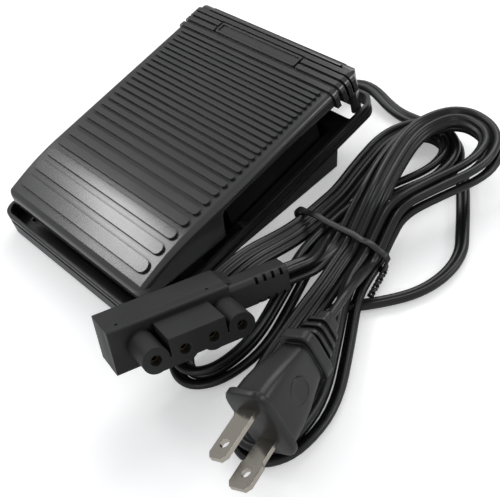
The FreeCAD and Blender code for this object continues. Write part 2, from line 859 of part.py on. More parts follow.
def make_power_parts():
    top = size.board_bottom + size.board_thickness
    case = box("triac_case", 10, 4.4, 8.5, (-24, -3.5, top + 1.8))
    legs = [box(f"triac_leg_{leg}", 0.8, 0.8, 2.4, (-21.9 + 2.5 * leg, -1.9, top)) for leg in range(3)]
    hole_foot = (-19, -6.5, top + 7.5)
    triac = cut("triac_piece", fuse("triac_solid", case, *legs), cylinder("triac_hole", 1.2, 9, hole_foot, "y"))
    node("triac", triac)
    plate = box("sink_plate", 18, 1.6, 10.4, (-28, 0.9, top))
    fins = [box(f"sink_fin_{fin}", 1.2, 5.0, 10.4, (-28 + 4.2 * fin, 2.5, top)) for fin in range(5)]
    hole_foot = (-19, -2.5, top + 7.5)
    sink = cut("sink_piece", fuse("sink_solid", plate, *fins), cylinder("sink_hole", 1.2, 8, hole_foot, "y"))
    node("heat_sink", sink)
    head = cylinder("triac_screw_head", 2.2, 1.3, (-19, -4.8, top + 7.5), "y")
    shank = cylinder("triac_screw_shank", 1.2, 6.5, (-19, -4.0, top + 7.5), "y")
    node("triac_screw", fuse("triac_screw_piece", head, shank))
    node("filter_capacitor", box("capacitor_piece", 13, 6.5, 9.5, (8, -5.5, top)))
    ring = doc.addObject("Part::Torus", "choke_ring")
    ring.Radius1, ring.Radius2 = 5.0, 1.9
    place(ring, (16, 9.0, top + 2.9))
    node("choke_core", ring)
    winding = doc.addObject("Part::Torus", "choke_turns")
    winding.Radius1, winding.Radius2, winding.Angle3 = 5.0, 2.8, 290
    place(winding, (16, 9.0, top + 2.9))
    hollow = doc.addObject("Part::Torus", "choke_hollow")
    hollow.Radius1, hollow.Radius2 = 5.0, 1.9
    place(hollow, (16, 9.0, top + 2.9))
    node("choke_winding", cut("choke_winding_piece", winding, hollow))
    resistors = []
    for index in range(3):
        x = -25 + 4.5 * index
        case = cylinder(f"resistor_case_{index}", 1.2, 6, (x, 10.5, top + 1.6), "y")
        ends = []
        for end, y in enumerate((9.9, 15.9)):
            ends.append(box(f"resistor_leg_{index}_{end}", 0.6, 1.2, 1.9, (x - 0.3, y, top)))
        resistors.append(fuse(f"resistor_{index}", case, *ends))
    node("resistors", group("resistor_set", *resistors))


def make_terminals():
    low = size.foot_gap + size.tub_wall
    node("terminal_block", box("terminal_piece", 14, 6, 8, (-12, 28.5, low)))
    screws = [cylinder(f"terminal_screw_{index}", 1.7, 0.9, (x, 31.5, low + 8)) for index, x in enumerate((-8.5, -1.5))]
    node("terminal_screws", group("terminal_screw_pair", *screws))
    top = size.cord_exit_z + size.cord_radius
    corner = ("cord_exit_x - 6.4", 29.2, top)
    bar_ = box("clamp_bar", 12.8, 4.4, 2.2, corner)
    holes = []
    screws = []
    for index, (x, y) in enumerate(clamp_places()):
        holes.append(cylinder(f"clamp_bar_hole_{index}", "board_screw_radius", 4, (x, y, top - 1)))
        shank = cylinder(f"clamp_shank_{index}", "board_screw_radius", 5, (x, y, top - 2.8))
        head = cylinder(f"clamp_head_{index}", 2.0, 1.2, (x, y, top + 2.2))
        screws.append(fuse(f"clamp_screw_{index}", shank, head))
    node("cord_clamp", cut("clamp_piece", bar_, *holes))
    node("clamp_screws", group("clamp_screw_pair", *screws))
    wires = []
    for index, z in enumerate((size.cord_exit_z - 0.75, size.cord_exit_z + 0.75)):
        corners = [
            Vector(size.cord_exit_x, 27.5, z),
            Vector(size.cord_exit_x, 24.5, z),
            Vector(size.cord_exit_x - 4.5, 21.5, z),
            Vector(size.cord_exit_x - 10.5 - 6 * index, 23.5, z),
            Vector(size.cord_exit_x - 15.5 - 7 * index, 26.0, z),
            Vector(size.cord_exit_x - 15.5 - 7 * index, 28.5, z),
        ]
        shape, _ = tube(route(corners), 0.6)
        wires.append(shape_piece(f"lead_wire_{index}", shape))
    node("lead_wires", group("lead_wire_pair", *wires))


# Cords


def route(points):
    """Straight runs through hand-chosen points, with the largest tangent arc at each turn."""
    edges = []
    last = points[0]
    for before, here, after in zip(points, points[1:], points[2:]):
        back = before - here
        ahead = after - here
        half_turn = (math.pi - back.getAngle(ahead)) / 2
        reach = 0.45 * min(back.Length, ahead.Length)
        start = here + back.normalize() * reach
        end = here + ahead.normalize() * reach
        inward = (back + ahead).normalize()
        radius = reach / math.tan(half_turn)
        middle = here + inward * (radius / math.cos(half_turn) - radius)
        edges.append(Part.LineSegment(last, start).toShape())
        edges.append(Part.Arc(start, middle, end).toShape())
        last = end
    edges.append(Part.LineSegment(last, points[-1]).toShape())
    return edges


def cord_stretch(label, points):
    """A free stretch of cord; prints its bends, its length and its volume against section times length."""
    edges = route(points)
    shape, length = tube(edges, size.cord_radius)
    bends = [edge.Curve.Radius for edge in edges if hasattr(edge.Curve, "Radius")]
    section = math.pi * size.cord_radius**2
    print(label, "length", round(length, 1), "tightest", round(min(bends), 1), end=" ")
    print("volume ratio", round(shape.Volume / (section * length), 4))
    node(label, shape_piece(label + "_tube", shape))


# The two cords are wound side by side: each goes round its own loop, and both pass the tie.
# Angles go round a loop in degrees: 0 at the far bight, 90 at the tie on the right-hand run,
# 180 at the near bight and 270 at the tie on the left-hand run.
PEDAL_HANK = SimpleNamespace(
    tie=Vector(60.6, 11.0, 0),
    far=Vector(68.0, 73.5, 0),
    near=Vector(68.8, -66.5, 0),
    far_half=16.5,
    near_half=14.2,
    near_bulge=4.0,
    start=-15.0,
    climb=540.0,
    end=1170.0,
    far_lift=0.0,
    lean=12.0,
    start_lift=0.0,
)
MAINS_HANK = SimpleNamespace(
    tie=Vector(81.2, 9.5, 0),
    far=Vector(82.3, 78.0, 0),
    near=Vector(107.3, -72.5, 0),
    far_half=18.6,
    near_half=15.6,
    near_bulge=6.0,
    start=270.0,
    climb=900.0,
    end=1530.0,
    far_lift=8.4,
    lean=0.0,
    start_lift=4.3,
)
WAIST = 8.6
WAIST_STEP = 4.1
BIGHT_STEP = 4.0
LOWEST_LAYER = 2.6
LAYER = 4.3


def ease(value):
    """0 below 0, 1 above 1, and a smooth step between."""
    value = min(max(value, 0.0), 1.0)
    return value * value * (3 - 2 * value)


def hank_point(hank, angle):
    """Centre of the cord at an angle round its hank."""
    turned = math.radians(angle)
    side = math.sin(turned)
    out = min(angle, hank.climb) - hank.start
    back = max(angle - hank.climb - 180.0, 0.0)
    ring = (out - back) / 360.0
    reach = math.cos(turned) * (1 + (0.29 + 0.07 * ring) * side * side)
    layer = ease((angle - hank.climb) / 180.0)
    tip = hank.far if reach > 0 else hank.near
    reach *= 1 - ring * BIGHT_STEP / (tip - hank.tie).Length
    swing = (hank.far - hank.near) * 0.5
    bend = (hank.far + hank.near) * 0.5 - hank.tie
    spine = hank.tie + swing * reach + bend * (reach * reach)
    if reach < 0:
        spine.x += hank.near_bulge * 4 * reach * reach * (1 - reach * reach)
    way = swing + bend * (2 * reach)
    if reach < 0:
        way.x += hank.near_bulge * 4 * (reach - 2 * reach**3)
    across = Vector(way.y, -way.x, 0).normalize()
    waist = WAIST - ring * WAIST_STEP
    half = hank.far_half if reach > 0 else hank.near_half
    lobe = (half - ring * BIGHT_STEP) / math.sqrt(0.5)
    width = waist + (lobe - waist) * ease((abs(reach) - 0.15) / 0.65)
    height = LOWEST_LAYER + LAYER * layer
    height += hank.far_lift * ease(reach / 0.22)
    height += hank.start_lift * (1 - ease((angle - hank.start) / 40.0))
    if reach < 0 and side < 0:
        height += hank.lean * side * side * ease(-reach / 0.6)
    return spine + across * (side * width) + Vector(0, 0, height)


def hank_way(hank, angle):
    """Direction of the cord at an angle round its hank."""
    return (hank_point(hank, angle + 0.2) - hank_point(hank, angle - 0.2)).normalize()


def hank_ends(hank):
    """Where the straight ends of a hank's tube stop, and their directions."""
    diameter = 2 * size.cord_radius
    first = hank_way(hank, hank.start)
    last = hank_way(hank, hank.end)
    start = hank_point(hank, hank.start) - first * diameter
    end = hank_point(hank, hank.end) + last * diameter
    return start, first, end, last


def hank_stops(hank):
    """Angles where the arcs of a hank meet, closer together where it passes the tie."""
    stops = {hank.start, hank.end}
    crossing = -90.0
    while crossing < hank.end + 180:
        for offset in (0.0, 5.0, 10.0, 20.0, 35.0, 52.0, 70.0, 90.0):
            stops.add(crossing - offset)
            stops.add(crossing + offset)
        crossing += 180.0
    return sorted(stop for stop in stops if hank.start <= stop <= hank.end)


def hank_gap(chains):
    """Least clear distance between turns, measured on points along the chains of arcs."""
    points = []
    for number, edges in enumerate(chains):
        travelled = 0.0
        for edge in edges:
            count = max(int(edge.Length / 1.5), 2)
            for point in edge.discretize(count)[:-1]:
                points.append((number, travelled, point.x, point.y, point.z))
                travelled += edge.Length / (count - 1)
    least = 1e9
    for index, (number, travelled, x, y, z) in enumerate(points):
        for other, way, u, v, w in points[index + 1:]:
            if number == other and way - travelled < 25:
                continue
            least = min(least, (x - u) ** 2 + (y - v) ** 2 + (z - w) ** 2)
    return math.sqrt(least) - 2 * size.cord_radius


def make_hank(label, hank):
    """One hank as an unbroken tube; returns its edges."""
    start, first, end, last = hank_ends(hank)
    edges = [Part.LineSegment(start, hank_point(hank, hank.start)).toShape()]
    stops = hank_stops(hank)
    for angle, ahead in zip(stops, stops[1:]):
        edges += biarc(
            hank_point(hank, angle), hank_way(hank, angle), hank_point(hank, ahead), hank_way(hank, ahead)
        )
    edges.append(Part.LineSegment(hank_point(hank, hank.end), end).toShape())
    shape, length = tube(edges, size.cord_radius)
    section = math.pi * size.cord_radius**2
    bends = [edge.Curve.Radius for edge in edges if hasattr(edge.Curve, "Radius")]
    print(label, "length", round(length, 1), "tightest", round(min(bends), 1), end=" ")
    print("volume ratio", round(shape.Volume / (section * length), 4), "gap", round(hank_gap([edges]), 2))
    node(label, shape_piece(label + "_tube", shape))
    return edges


def make_cords():
    pedal_edges = make_hank("pedal_cord_hank", PEDAL_HANK)
    mains_edges = make_hank("mains_cord_hank", MAINS_HANK)
    print("gap with both hanks", round(hank_gap([pedal_edges, mains_edges]), 2))
    start, first, end, last = hank_ends(PEDAL_HANK)
    exit_x, exit_z = size.cord_exit_x, size.cord_exit_z
    outside = size.tub_far + size.tub_draft + size.boot_length
    cord_stretch(
        "pedal_cord_tail",
        [
            Vector(exit_x, 27.5, exit_z),
            Vector(exit_x, outside + 14, exit_z),
            start - first * 18,
            start,
        ],
    )
    upper = connector_frame().multVec(Vector(size.tail_end, 18.8, 2.0))
    lower = connector_frame().multVec(Vector(size.tail_end, 18.8, -2.0))
    along_tail = connector_frame().Rotation.multVec(Vector(1, 0, 0))
    cord_stretch(
        "pedal_cord_lead",
        [end, end + last * 7, upper + along_tail * 6 + Vector(-0.6, 0, 0.4), upper],
    )
    start, first, end, last = hank_ends(MAINS_HANK)
    cord_stretch(
        "mains_cord_lead",
        [lower, lower + along_tail * 7, start - first * 7, start],
    )
    tail = plug_frame().multVec(Vector(0, 0, -plug_reach()))
    along_plug = plug_frame().Rotation.multVec(Vector(0, 0, -1))
    cord_stretch(
        "mains_cord_tail",
        [end, end + last * 10, tail + along_plug * 10, tail],
    )


def make_tie():
    """A flat band round both hanks at their waist."""
    left = PEDAL_HANK.tie.x - WAIST - size.cord_radius - 1.2
    right = MAINS_HANK.tie.x + WAIST + size.cord_radius + 1.2
    high = LOWEST_LAYER + LAYER + size.cord_radius + 2.2
    thick = size.tie_thickness
    outer = rectangle(left - thick, right + thick, 0.02, high + thick, 4.0 + thick)
    inner = rectangle(left, right, 0.02 + thick, high, 4.0)
    band = cut(
        "tie_band",
        prism("tie_outside", "xz", outer, "tie_width", both=True),
        prism("tie_inside", "xz", inner, "tie_width * 3", both=True),
    )
    middle = (PEDAL_HANK.tie + MAINS_HANK.tie) * 0.5
    node("cord_tie", band, Placement(Vector(0, middle.y, 0), Rotation()))


def make_boot():
    start = size.tub_far - 1.6
    foot = ("cord_exit_x", start, "cord_exit_z")
    seat = cylinder("boot_seat", "boot_radius", "tub_draft + 2.4", foot, "y")
    foot = ("cord_exit_x", "tub_far + tub_draft + 0.8", "cord_exit_z")
    taper = cone("boot_taper", "boot_radius", "boot_tip_radius", "boot_length", foot, "y")
    collar = cylinder("boot_collar", "boot_radius + 1.2", 1.8, foot, "y")
    foot = ("cord_exit_x", start - 1, "cord_exit_z")
    bore = cylinder("boot_bore", "cord_radius", 60, foot, "y")
    node("strain_relief", cut("boot_piece", fuse("boot_solid", seat, taper, collar), bore))


# Connector: its own X runs along the row of sockets to the cords, Y goes in, Z is up.


def frame_from(origin, x_way, y_way):
    """A frame with its X and Y along two directions that are nearly square to each other."""
    x_way = Vector(*x_way).normalize()
    z_way = x_way.cross(Vector(*y_way)).normalize()
    return Placement(Vector(*origin), Rotation(x_way, z_way.cross(x_way), z_way, "ZXY"))


def connector_frame():
    return frame_from((78.6, -71.9, 30.2), (0.227, 0.951, -0.211), (-0.945, 0.163, -0.284))


def make_connector():
    pitch = size.socket_pitch
    length = "boss_length + 0.5"
    parts = [
        cylinder(f"socket_boss_{index}", "boss_radius", length, (index * pitch, 0, 0), "y") for index in range(4)
    ]
    middle = (pitch - 4.6, 0, -1)
    parts.append(box("socket_block", "socket_pitch + 9.2", length, 6.2, middle))
    parts.append(box("socket_floor", "socket_pitch", length, 4, (pitch, 0, -3)))
    for index in (0, 2):
        parts.append(box(f"socket_web_{index}", "socket_pitch", length, 3.6, (index * pitch, 0, -4.2)))
    right = 3 * pitch + size.slab_right
    inner = size.boss_length
    slab = [
        (inner, -size.slab_down, 0.8),
        (inner + size.slab_thickness, -size.slab_down, 0.8),
        (inner + size.slab_thickness, size.slab_up - 2.6, 0.8),
        (inner + size.slab_thickness - 2.2, size.slab_up, 0.8),
        (inner, size.slab_up, 0.8),
    ]
    depth = "3 * socket_pitch + slab_left + slab_right"
    parts.append(prism("connector_slab", "yz", slab, depth, Vector(-size.slab_left, 0, 0)))
    tail_low = [(size.tail_start, -size.tail_half - 0.2, 1.2), (size.tail_stop, -size.tail_half - 0.2, 1.2)]
    tail_high = [(size.tail_stop, size.tail_half + 1.6, 2.0), (size.tail_start, size.tail_half + 1.6, 2.0)]
    tail_length = size.tail_end - right + 1
    parts.append(prism("connector_tail", "yz", tail_low + tail_high, tail_length, Vector(right - 1, 0, 0)))
    holes = [
        cylinder(f"socket_{index}", "socket_radius", "socket_depth", (index * pitch, 0, 0), "y")
        for index in range(4)
    ]
    for index in range(4):
        x = size.tail_end - 3.0 - 3.0 * index
        high = size.tail_half - 0.8
        holes.append(box(f"tail_slot_high_{index}", 1.0, 2.6, 4, (x, size.tail_start - 1.4, high)))
        holes.append(box(f"tail_slot_low_{index}", 1.0, 2.6, 4, (x, size.tail_start - 1.4, -high - 3.5)))
    for index, x in enumerate((-5.2, 25.5)):
        holes.append(cylinder(f"pinhole_{index}", 0.5, 4, (x, inner + 3.2, size.slab_up - 1.5)))
    for index, z in enumerate((2.0, -2.0)):
        foot = (size.tail_end - 12, 18.8, z)
        holes.append(cylinder(f"cord_seat_{index}", "cord_radius", 20, foot, "x"))
    body = cut("connector_piece", fuse("connector_solid", *parts), *holes)
    node("connector_body", body, connector_frame())
    sleeves = []
    for index in range(4):
        foot = (index * pitch, "sleeve_setback", 0)
        outer = cylinder(f"sleeve_outer_{index}", "socket_radius", "socket_depth - sleeve_setback", foot, "y")
        inner_ = cylinder(f"sleeve_bore_{index}", "sleeve_radius", "socket_depth - sleeve_setback - 0.8", foot, "y")
        sleeves.append(cut(f"sleeve_{index}", outer, inner_))
    node("connector_sleeves", group("sleeve_set", *sleeves), connector_frame())


# Plug: its own X runs from the narrow blade to the wide one, Y across them, Z out of its face.


def plug_frame():
    return frame_from((114.2, -65.5, 23.0), (0.314, 0.041, -0.949), (0.907, 0.281, 0.312))


def plug_reach():
    """From the plug's face to where its cord comes out."""
    return size.plug_plate + size.plug_body + size.plug_grip + size.plug_relief


def octagon(half, side, cut_x, cut_y):
    return [
        (-half, -side + cut_y, 0.5),
        (-half, side - cut_y, 0.5),
        (-half + cut_x, side, 0.5),
        (half - cut_x, side, 0.5),
        (half, side - cut_y, 0.5),
        (half, -side + cut_y, 0.5),
        (half - cut_x, -side, 0.5),
        (-half + cut_x, -side, 0.5),
    ]


def loft(name, sections):
    """A straight-sided solid between (height, outline) sections."""
    thing = doc.addObject("Part::Loft", name)
    thing.Sections = [
        sketch(f"{name}_{index}", "xy", rounded(outline), Vector(0, 0, height))
        for index, (height, outline) in enumerate(sections)
    ]
    thing.Solid = True
    thing.Ruled = True
    return thing


def make_plug():
    plate = -size.plug_plate
    neck = plate - size.plug_body
    grip = neck - size.plug_grip
    end = -plug_reach()
    half, side = size.plug_half, size.plug_side
    neck_half, neck_side = size.plug_neck_half, size.plug_neck_side
    parts = [
        loft("plug_front", [(0, octagon(half - 1, side - 1, 3.6, 3.2)), (plate, octagon(half, side, 3.6, 3.2))]),
        loft(
            "plug_taper",
            [
                (plate, octagon(half - 1.2, side - 0.8, 2.4, 2.0)),
                (neck, octagon(neck_half, neck_side, 1.6, 1.4)),
            ],
        ),
        prism("plug_grip", "xy", octagon(neck_half + 2.8, neck_side + 1.6, 1.4, 1.2), "plug_grip", Vector(0, 0, grip)),
        loft(
            "plug_relief",
            [(grip, octagon(neck_half - 1.4, neck_side - 0.8, 1.4, 1.2)), (end, octagon(3.6, 3.0, 1.0, 1.0))],
        ),
    ]
    for index in range(3):
        z = grip - 2.6 - 3.0 * index
        shrink = 0.5 * index
        outline = octagon(neck_half - 0.6 - shrink, neck_side - 0.2 - shrink, 1.4, 1.2)
        parts.append(prism(f"plug_ring_{index}", "xy", outline, 1.4, Vector(0, 0, z)))
    mark_z = plate - 7.5
    disc = cylinder("plug_disc", 4.4, 1.6, (0, side - 2.6, mark_z), "y")
    parts.append(disc)
    holes = []
    pitch = size.blade_pitch / 2
    for index, x in enumerate((-pitch, pitch)):
        corner = (f"{x} - blade_thickness / 2", "-blade_width / 2", "-blade_root")
        holes.append(box(f"blade_slot_{index}", "blade_thickness", "blade_width", "blade_root + 1", corner))
    holes.append(cylinder("plug_cord_seat", "cord_radius", 8, (0, 0, end)))
    node("plug_body", cut("plug_piece", fuse("plug_solid", *parts), *holes), plug_frame())
    make_blade("narrow_blade", -pitch, size.blade_width / 2)
    make_blade("wide_blade", pitch, size.wide_blade_width / 2)


def make_blade(label, x, tip_half):
    """A flat blade with a chamfered tip and a hole; a wide one steps out half way along."""
    half = size.blade_width / 2
    length = size.blade_length
    step = length * 0.45
    outline = [
        (-half, -size.blade_root, 0),
        (half, -size.blade_root, 0),
        (half, step, 0),
        (tip_half, step + 1.2, 0),
        (tip_half, length - 1.6, 0),
        (tip_half - 1.2, length, 0),
        (1.2 - tip_half, length, 0),
        (-tip_half, length - 1.6, 0),
        (-tip_half, step + 1.2, 0),
        (-half, step, 0),
    ]
    if tip_half == half:
        outline = outline[:2] + outline[4:8]
    origin = Vector(x - size.blade_thickness / 2, 0, 0)
    blade = prism(label + "_strip", "yz", outline, "blade_thickness", origin)
    hole = cylinder(label + "_hole", "blade_hole_radius", 6, (x - 3, 0, "blade_hole"), "x")
    node(label, cut(label + "_piece", blade, hole), plug_frame())


make_treadle()
make_hinge_pins()
make_base()
make_cover()
make_springs()
make_plunger()
make_board()
make_power_parts()
make_terminals()
make_boot()
make_cords()
make_tie()
make_connector()
make_plug()
doc.recompute()

for thing in doc.Objects:
    if "Invalid" in thing.State or "Error" in thing.State:
        raise RuntimeError(f"{thing.Name} failed: {thing.getStatusString()}")
for piece in pieces:
    if piece.Shape.isNull() or not piece.Shape.isValid() or piece.Shape.Volume <= 0:
        raise RuntimeError(f"{piece.Label} has no valid solid")

os.makedirs("parts", exist_ok=True)
for piece in pieces:
    piece.Shape.exportStep(f"parts/{piece.Label}.step")
print(len(pieces), "pieces")
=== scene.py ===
"""Looks of a sewing machine pedal with its cords, its machine connector and its mains plug.

The scene is in metres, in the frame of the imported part: X to the user's right, Y towards
the toe end, Z up from the floor. Routes, outlines and stations are written in millimetres.
"""

import math

import bpy
from mathutils import Matrix, Vector


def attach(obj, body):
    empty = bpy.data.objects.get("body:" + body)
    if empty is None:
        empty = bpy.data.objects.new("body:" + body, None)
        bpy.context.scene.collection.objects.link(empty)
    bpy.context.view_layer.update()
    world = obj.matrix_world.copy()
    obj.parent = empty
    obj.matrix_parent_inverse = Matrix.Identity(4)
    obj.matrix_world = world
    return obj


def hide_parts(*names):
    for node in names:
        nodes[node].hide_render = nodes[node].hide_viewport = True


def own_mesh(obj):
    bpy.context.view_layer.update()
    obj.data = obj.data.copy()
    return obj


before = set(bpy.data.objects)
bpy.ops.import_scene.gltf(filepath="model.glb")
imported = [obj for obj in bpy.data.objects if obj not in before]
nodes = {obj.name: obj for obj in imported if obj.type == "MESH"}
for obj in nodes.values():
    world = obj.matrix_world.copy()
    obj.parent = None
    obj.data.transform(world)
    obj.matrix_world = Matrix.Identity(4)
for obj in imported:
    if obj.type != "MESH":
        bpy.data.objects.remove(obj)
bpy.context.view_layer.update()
scene = bpy.context.scene
scene.view_settings.view_transform = "Standard"

MM = 0.001
FLAT_WIDTH = 5.0 * MM
FLAT_THICKNESS = 2.7 * MM


def mm(*values):
    """A point given in millimetres, in metres."""
    return Vector(values) * MM


def circle(count, shift=0.0):
    """Angles spread evenly round a circle."""
    return [2 * math.pi * (step + shift) / count for step in range(count)]


def squared(value, power):
    """A sine or cosine with its sign kept, raised to a power that makes a circle squarer."""
    return math.copysign(abs(value) ** power, value)


# Camera

camera_data = bpy.data.cameras.new("camera")
camera_data.sensor_width = 36.0
camera_data.lens = 67.44
camera_data.clip_start = 0.01
camera = bpy.data.objects.new("camera", camera_data)
scene.collection.objects.link(camera)
VIEW_RIGHT = Vector((0.66544491, 0.71405244, -0.21751363))
VIEW_UP = Vector((-0.43232029, 0.60623028, 0.6675208))
VIEW_BACK = Vector((0.60850821, -0.35016276, 0.71211221))
turn = Matrix((VIEW_RIGHT, VIEW_UP, VIEW_BACK)).transposed().to_4x4()
camera.matrix_world = Matrix.Translation(mm(249.467, -128.427, 241.527)) @ turn
scene.camera = camera


# Cords: the routes of the solids, with the mains hank's far bight a millimetre higher.


class Hank:
    """One cord's loop: where it passes the tie, its bights and how its turns are laid."""

    def __init__(self, **values):
        self.__dict__.update(values)


PEDAL_HANK = Hank(
    tie=Vector((60.6, 11.0, 0)),
    far=Vector((68.0, 73.5, 0)),
    near=Vector((68.8, -66.5, 0)),
    far_half=16.5,
    near_half=14.2,
    near_bulge=4.0,
    start=-15.0,
    climb=540.0,
    end=1170.0,
    far_lift=0.0,
    lean=12.0,
    start_lift=0.0,
)
MAINS_HANK = Hank(
    tie=Vector((81.2, 9.5, 0)),
    far=Vector((82.3, 78.0, 0)),
    near=Vector((107.3, -72.5, 0)),
    far_half=18.6,
    near_half=15.6,
    near_bulge=6.0,
    start=270.0,
    climb=900.0,
    end=1530.0,
    far_lift=9.4,
    lean=0.0,
    start_lift=4.3,
)
WAIST = 8.6
WAIST_STEP = 4.1
WAIST_REACH = 0.15
LOBE_REACH = 0.65
BIGHT_STEP = 4.0
FULLNESS = 0.29
FULLNESS_STEP = 0.07
LOWEST_LAYER = 2.6
LAYER = 4.3
FAR_RISE_REACH = 0.22
LEAN_REACH = 0.6
START_FALL = 40.0


def ease(value):
    """0 below 0, 1 above 1, and a smooth step between."""
    value = min(max(value, 0.0), 1.0)
    return value * value * (3 - 2 * value)


def hank_point(hank, angle):
    """Centre of the cord at an angle round its hank, in millimetres."""
    turned = math.radians(angle)
    side = math.sin(turned)
    out = min(angle, hank.climb) - hank.start
    back = max(angle - hank.climb - 180.0, 0.0)
    ring = (out - back) / 360.0
    reach = math.cos(turned) * (1 + (FULLNESS + FULLNESS_STEP * ring) * side * side)
    layer = ease((angle - hank.climb) / 180.0)
    tip = hank.far if reach > 0 else hank.near
    reach *= 1 - ring * BIGHT_STEP / (tip - hank.tie).length
    swing = (hank.far - hank.near) * 0.5
    bend = (hank.far + hank.near) * 0.5 - hank.tie
    spine = hank.tie + swing * reach + bend * (reach * reach)
    if reach < 0:
        spine.x += hank.near_bulge * 4 * reach * reach * (1 - reach * reach)
    way = swing + bend * (2 * reach)
    if reach < 0:
        way.x += hank.near_bulge * 4 * (reach - 2 * reach**3)
    across = Vector((way.y, -way.x, 0)).normalized()
    waist = WAIST - ring * WAIST_STEP
    half = hank.far_half if reach > 0 else hank.near_half
    lobe = (half - ring * BIGHT_STEP) / math.sqrt(0.5)
    width = waist + (lobe - waist) * ease((abs(reach) - WAIST_REACH) / LOBE_REACH)
    height = LOWEST_LAYER + LAYER * layer
    height += hank.far_lift * ease(reach / FAR_RISE_REACH)
    height += hank.start_lift * (1 - ease((angle - hank.start) / START_FALL))
    if reach < 0 and side < 0:
        height += hank.lean * side * side * ease(-reach / LEAN_REACH)
    return spine + across * (side * width) + Vector((0, 0, height))


def hank_stops(hank):
    """Angles of the cord's control points, closer together where it passes the tie."""
    stops = {hank.start, hank.end}
    crossing = -90.0
    while crossing < hank.end + 180:
        for offset in (0.0, 5.0, 10.0, 20.0, 35.0, 52.0, 70.0, 90.0):
            stops.add(crossing - offset)
            stops.add(crossing + offset)
        crossing += 180.0
    return sorted(stop for stop in stops if hank.start <= stop <= hank.end)


def hank_way(hank, angle):
    """Direction of the cord at an angle round its hank."""
    return (hank_point(hank, angle + 0.2) - hank_point(hank, angle - 0.2)).normalized()


def hank_run(hank):
    """The cord's control points round its hank."""
    return [hank_point(hank, angle) for angle in hank_stops(hank)]


CORE_STEPS = 7
CORE_ARC = math.radians(126.7857143)


def flat_profile():
    """Outline of a flat twin cord, in millimetres: two round cores with a groove between them."""
    data = bpy.data.curves.new("cord_profile", "CURVE")
    data.dimensions = "2D"
    core = FLAT_THICKNESS / MM / 2
    offset = FLAT_WIDTH / MM / 2 - core
    points = []
    for step in range(-CORE_STEPS, CORE_STEPS + 1):
        angle = step * CORE_ARC / CORE_STEPS
        points.append((offset + core * math.cos(angle), core * math.sin(angle)))
    points += [(-x, y) for x, y in reversed(points)]
    spline = data.splines.new("POLY")
    spline.points.add(len(points) - 1)
    for place, (x, y) in zip(spline.points, points):
        place.co = (x, y, 0, 1)
    spline.use_cyclic_u = True
    outline = bpy.data.objects.new("cord_profile", data)
    scene.collection.objects.link(outline)
    outline.hide_render = True
    return outline


profile = flat_profile()


def cord_curve(name, points, tilts):
    """A cord as one smooth spline with the control points given in millimetres."""
    data = bpy.data.curves.new(name, "CURVE")
    data.dimensions = "3D"
    data.twist_mode = "Z_UP"
    data.resolution_u = 5
    data.bevel_mode = "OBJECT"
    data.bevel_object = profile
    data.use_fill_caps = True
    spline = data.splines.new("NURBS")
    spline.points.add(len(points) - 1)
    for place, point, tilt in zip(spline.points, points, tilts):
        place.co = (*(point * MM), 1)
        place.radius = MM
        place.tilt = tilt
    spline.order_u = 3
    spline.use_endpoint_u = True
    cord = bpy.data.objects.new(name, data)
    scene.collection.objects.link(cord)
    return cord


def frame_from(origin, x_way, y_way):
    """A frame with its X and Y along two directions that are nearly square to each other."""
    x_axis = Vector(x_way).normalized()
    z_axis = x_axis.cross(Vector(y_way)).normalized()
    y_axis = z_axis.cross(x_axis)
    turned = Matrix((x_axis, y_axis, z_axis)).transposed().to_4x4()
    return Matrix.Translation(Vector(origin)) @ turned


CONNECTOR = frame_from((78.6, -71.9, 30.2), (0.227, 0.951, -0.211), (-0.945, 0.163, -0.284))
PLUG = frame_from((114.2, -65.5, 23.0), (0.314, 0.041, -0.949), (0.907, 0.281, 0.312))
TAIL_END = 53.4
CORD_DEPTH = 18.8
CORD_OFFSET = 2.0
PLUG_REACH = 42.0
EXIT = Vector((14.0, 66.0, 6.0))
LAID = math.radians(44)
SLACK_TILT = math.radians(20)
SLACK_ROUTE = [
    (84.0, 60.0, 2.2),
    (93.0, 49.0, 2.0),
    (100.5, 39.0, 1.8),
    (106.5, 31.0, 1.8),
    (108.5, 20.5, 1.8),
    (106.0, 9.0, 1.8),
    (98.0, -2.0, 1.8),
    (88.0, -12.5, 2.0),
    (80.0, -24.0, 2.2),
]

upper_exit = CONNECTOR @ Vector((TAIL_END, CORD_DEPTH, CORD_OFFSET))
lower_exit = CONNECTOR @ Vector((TAIL_END, CORD_DEPTH, -CORD_OFFSET))
tail_way = CONNECTOR.to_3x3() @ Vector((1, 0, 0))
plug_tail = PLUG @ Vector((0, 0, -PLUG_REACH))
plug_way = PLUG.to_3x3() @ Vector((0, 0, -1))


def pedal_route():
    """From the boot, round the hank and into the connector."""
    run = hank_run(PEDAL_HANK)
    first = hank_way(PEDAL_HANK, PEDAL_HANK.start)
    last = hank_way(PEDAL_HANK, PEDAL_HANK.end)
    lead = [
        Vector((14.0, 46.0, 6.0)),
        EXIT,
        Vector((14.6, 74.5, 5.7)),
        Vector((22.5, 79.5, 4.6)),
        run[0] - first * 22,
        run[0] - first * 9,
    ]
    tail = [
        run[-1] + last * 6,
        upper_exit + tail_way * 12 + Vector((0, 0, -0.4)),
        upper_exit + tail_way * 5,
        upper_exit - tail_way * 3,
    ]
    tilts = [0.0] * 4 + [0.2, 0.5] + [LAID] * len(run) + [0.5, 0.2, 0.0, 0.0]
    return lead + run + tail, tilts


